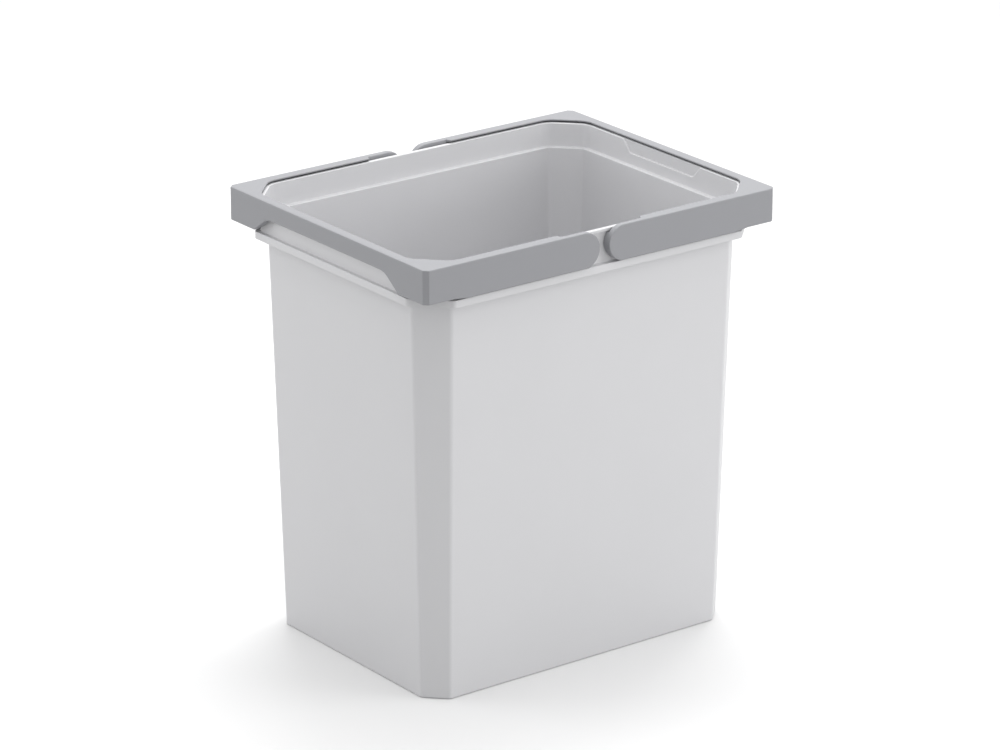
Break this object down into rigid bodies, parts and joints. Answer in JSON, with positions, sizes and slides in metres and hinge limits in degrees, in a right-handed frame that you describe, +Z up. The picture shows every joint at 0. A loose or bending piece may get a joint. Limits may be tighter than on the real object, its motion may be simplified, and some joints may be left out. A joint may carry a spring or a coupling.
{
  "type": "waste bin with folding handles",
  "caption": "Tapered rectangular plastic waste bin with cut corners, a stepped rim and two U-shaped handles that fold down round the rim to form a frame.",
  "frame": {"origin": "centre of the base, on the surface the bin stands on", "axes": "+Z up, X along the long side, Y along the short side"},
  "size_m": [0.33, 0.2548, 0.3546],
  "materials": {
    "body_plastic": "fine matt moulded polypropylene, light grey",
    "handle_plastic": "fine matt moulded polypropylene, mid grey"
  },
  "bodies": {
    "bin": {"bin_body": "body_plastic"},
    "handle_left": {"handle_left": "handle_plastic"},
    "handle_right": {"handle_right": "handle_plastic"}
  },
  "joints": [
    {"name": "left_handle_pivot", "type": "hinge", "parent": "bin", "child": "handle_left", "pos_m": [-0.0184, 0, 0.3406], "axis": [0, 1, 0], "range_deg": [0, 90]},
    {"name": "right_handle_pivot", "type": "hinge", "parent": "bin", "child": "handle_right", "pos_m": [0.0184, 0, 0.3406], "axis": [0, -1, 0], "range_deg": [0, 90]}
  ]
}
